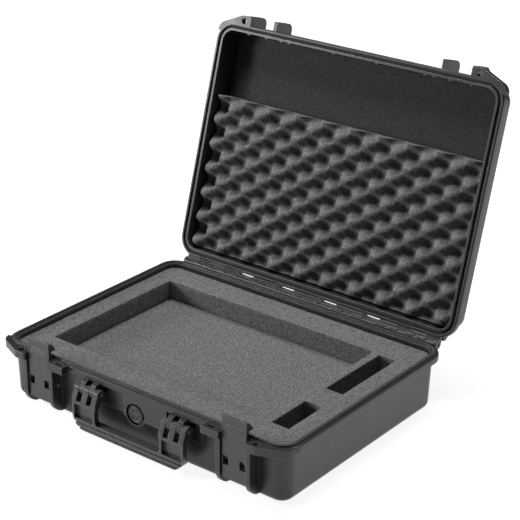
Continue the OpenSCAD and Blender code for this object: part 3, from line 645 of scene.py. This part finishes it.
# %% Lid lining
lining_low, lining_high = box_when_shut("lid_foam_lining")
LID_BASE = 0.0852                    # where the lid's walls begin
ARC_START = 0.1212                   # where they curve into its top
LID_DRAFT, LID_FILLET = math.tan(math.radians(3)), 0.0085
LINING_CORNER, LINING_STEP = 0.0150, 0.015
LINING_GAP = 0.0001                  # to the lid's top


def lid_half_sizes(height):
    shrink = (min(height, ARC_START) - LID_BASE) * LID_DRAFT
    rise = max(0, height - ARC_START)
    shrink += LID_FILLET - math.sqrt(LID_FILLET ** 2 - rise ** 2)
    return HALF_W - shrink, HALF_D - shrink


lining_w, lining_d = lid_half_sizes(lining_low.z)
lining = rounded_sheet("lid_lining", lining_w, lining_d, LINING_CORNER, lining_low.z)
cut_lines(0, grid_places(lining_w, LINING_STEP))
cut_lines(1, grid_places(lining_d, LINING_STEP))
thicken(tapered_rings(lid_half_sizes, lining_low.z, lining_high.z - LINING_GAP))
hand_cut(lining, wander=0.0006, size=0.04, edge=0.0008)
open_with_lid(lining)
finish_foam(lining, "lid", "lining_foam", "lid_foam_lining")

# %% [markdown]
# ## Egg-crate foam
# Convoluted foam is made by squeezing a block between dimpled rollers and slicing it, which leaves
# peaks and pits like an egg tray, each peak with four pits round it. A Displace modifier with a
# picture of dots could raise them, but a formula gives the slope of each flank. So one pitch of
# the tray is a small grid whose points are lifted by two cosines, and two Array modifiers repeat
# it over the panel. Bisect trims the field to the panel's outline, one plane for each side and a
# few for each rounded corner, and the open border is extruded to the flat back.

# %% Sizes of the tray
crate_low, crate_high = box_when_shut("eggcrate_foam")
PITCH_X, PITCH_Y = 0.0496, 0.0384
PEAK_Z, PIT_Z = 0.0892, 0.1122       # with the lid shut, peaks hang lowest
SHIFT_X, SHIFT_Y = 0.0205, 0.0055
STEPS_X, STEPS_Y = 30, 24
STEEP = 0.7                          # 0 is a pure cosine, 1 has full tops and steep flanks
SPARE = 0.01                         # the tray starts this far outside the panel
SEAM = 0.0002                        # points of two pitches merge within this
columns = math.ceil(2 * crate_high.x / PITCH_X) + 1
rows = math.ceil((crate_high.y - crate_low.y) / PITCH_Y) + 1
start_x = -columns * PITCH_X / 2
start_y = crate_low.y - SPARE
print("tray:", columns, "x", rows, "pitches")

# %% One pitch of the tray, repeated
def tray_height(x, y):
    across = math.cos(2 * math.pi * (x - SHIFT_X) / PITCH_X)
    along = math.cos(2 * math.pi * (y - SHIFT_Y) / PITCH_Y)
    wave = STEEP * math.sin(across * along * math.pi / 2) + (1 - STEEP) * across * along
    return (PEAK_Z + PIT_Z) / 2 - wave * (PIT_Z - PEAK_Z) / 2


bpy.ops.object.select_all(action="DESELECT")
bpy.ops.mesh.primitive_grid_add(x_subdivisions=STEPS_X, y_subdivisions=STEPS_Y, size=1)
tray = bpy.context.active_object
tray.name = tray.data.name = "eggcrate_panel"
tray.scale = (PITCH_X, PITCH_Y, 1)
tray.location = (start_x + PITCH_X / 2, start_y + PITCH_Y / 2, 0)
bpy.ops.object.transform_apply(location=True, rotation=True, scale=True)
for point in tray.data.vertices:
    point.co.z = tray_height(point.co.x, point.co.y)
for count, step in ((columns, (PITCH_X, 0, 0)), (rows, (0, PITCH_Y, 0))):
    apply_modifier(tray, "ARRAY", count=count, use_relative_offset=False, use_constant_offset=True,
                   constant_offset_displace=step, use_merge_vertices=True, merge_threshold=SEAM)
print("repeated to", len(tray.data.polygons), "faces")

# %% Trim the tray to the panel
PANEL_CORNER = 0.018
CORNER_CUTS = 8


def direction(angle):
    return Vector((math.cos(math.radians(angle)), math.sin(math.radians(angle)), 0))


trims = [((crate_high.x, 0, 0), 0), ((crate_low.x, 0, 0), 180),
         ((0, crate_high.y, 0), 90), ((0, crate_low.y, 0), 270)]
for side in (-1, 1):
    centre = Vector((side * (crate_high.x - PANEL_CORNER), crate_high.y - PANEL_CORNER, 0))
    for k in range(1, CORNER_CUTS):
        angle = 90 - side * k * 90 / CORNER_CUTS
        trims.append((centre + direction(angle) * PANEL_CORNER, angle))
edit(tray)
for place, angle in trims:
    bpy.ops.mesh.select_all(action="SELECT")
    bpy.ops.mesh.bisect(plane_co=place, plane_no=direction(angle), clear_outer=True)
print("trimmed by", len(trims), "planes")

# %% Give the panel its flat back
NUDGE = 0.0001                       # parts the new border from the old one

bpy.ops.mesh.select_all(action="DESELECT")
bpy.ops.mesh.select_mode(type="EDGE")
bpy.ops.mesh.select_non_manifold(extend=False)
bpy.ops.mesh.extrude_edges_move(TRANSFORM_OT_translate={"value": (0, 0, NUDGE)})
bpy.ops.object.mode_set(mode="OBJECT")
for point in tray.data.vertices:
    if point.select:
        point.co.z = crate_high.z
bpy.ops.object.mode_set(mode="EDIT")
bpy.ops.mesh.edge_face_add()
bpy.ops.mesh.select_all(action="SELECT")
bpy.ops.mesh.normals_make_consistent(inside=False)
bpy.ops.object.mode_set(mode="OBJECT")
soften(tray, edge=0.0007, angle=50)
bpy.ops.object.shade_smooth_by_angle(angle=math.radians(40))
open_with_lid(tray)
finish_foam(tray, "lid", "crate_foam", "eggcrate_foam")

# %% [markdown]
# ## Finish
# A finish must not change the size of the case. That could be judged by eye, but a millimetre
# can't be seen. The last cell sets the view transform to Standard.

# %% View transform
bpy.context.scene.view_settings.view_transform = "Standard"
